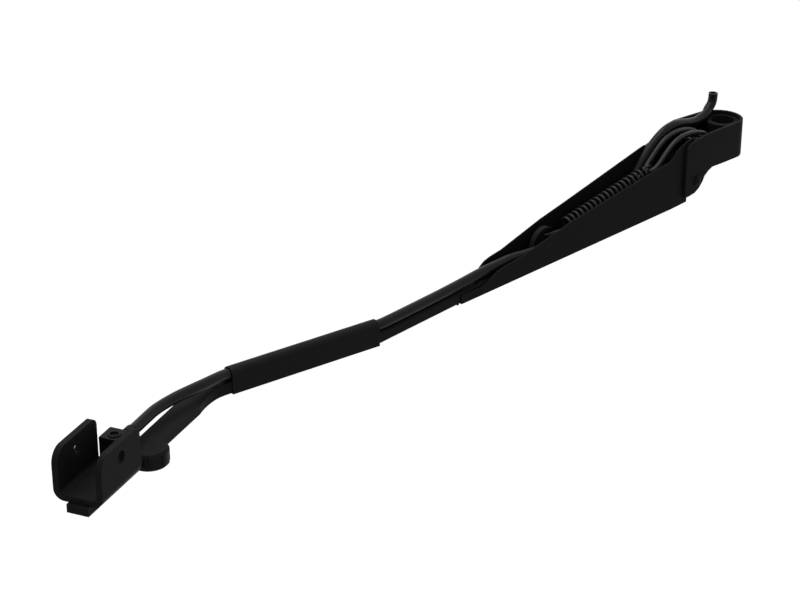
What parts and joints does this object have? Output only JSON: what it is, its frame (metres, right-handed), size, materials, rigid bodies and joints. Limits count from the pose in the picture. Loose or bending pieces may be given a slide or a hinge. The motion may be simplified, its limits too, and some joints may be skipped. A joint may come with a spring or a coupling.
{
  "type": "wiper arm",
  "caption": "Folding windscreen wiper arm: cast head, tapered sheet channel with a tension spring, cranked flat bar, U saddle for the blade, washer hose and jet.",
  "frame": {"origin": "centre of the shaft bore at the top of its boss", "axes": "+X towards the blade end, +Y across the arm, +Z along the shaft bore, out of the open side that faces the glass"},
  "size_m": [0.6142, 0.0578, 0.0569],
  "materials": {
    "coated_casting": "satin black coat on die casting",
    "coated_sheet": "satin black coat on sheet steel",
    "coated_steel": "satin black coat on steel",
    "plain_steel": "plain pin, dulled",
    "spring_steel": "black phosphated spring wire",
    "hose_rubber": "smooth black rubber",
    "black_plastic": "moulded black plastic"
  },
  "bodies": {
    "head": {"mounting_head": "coated_casting", "anchor_pin": "plain_steel", "hinge_rivet": "coated_steel", "hinge_bushes": "black_plastic", "hinge_washers": "black_plastic"},
    "arm": {"arm_channel": "coated_sheet", "arm_rod": "coated_steel", "rod_rivets": "coated_steel", "washer_hose": "hose_rubber", "hose_sleeve": "black_plastic", "blade_bracket": "coated_steel", "bracket_rivets": "coated_steel", "nozzle_body": "black_plastic", "nozzle_jet": "black_plastic", "hose_barb": "black_plastic", "tip_washer": "coated_steel", "notched_knob": "black_plastic", "knob_bolt": "coated_steel"},
    "spring_link": {"spring_yoke": "spring_steel", "tension_spring": "spring_steel"}
  },
  "joints": [
    {"name": "arm_fold", "type": "hinge", "parent": "head", "child": "arm", "pos_m": [0.0534, 0, -0.024], "axis": [0, 1, 0], "range_deg": [0, 50], "stiffness_Nm_per_rad": 3, "springref_deg": -60.16},
    {"name": "link_swing", "type": "hinge", "parent": "head", "child": "spring_link", "pos_m": [0.0275, 0, -0.008], "axis": [0, 1, 0], "range_deg": [0, 41.5]}
  ],
  "couplings": [
    {"joint": "link_swing", "follows": "arm_fold", "ratio": 0.83}
  ]
}
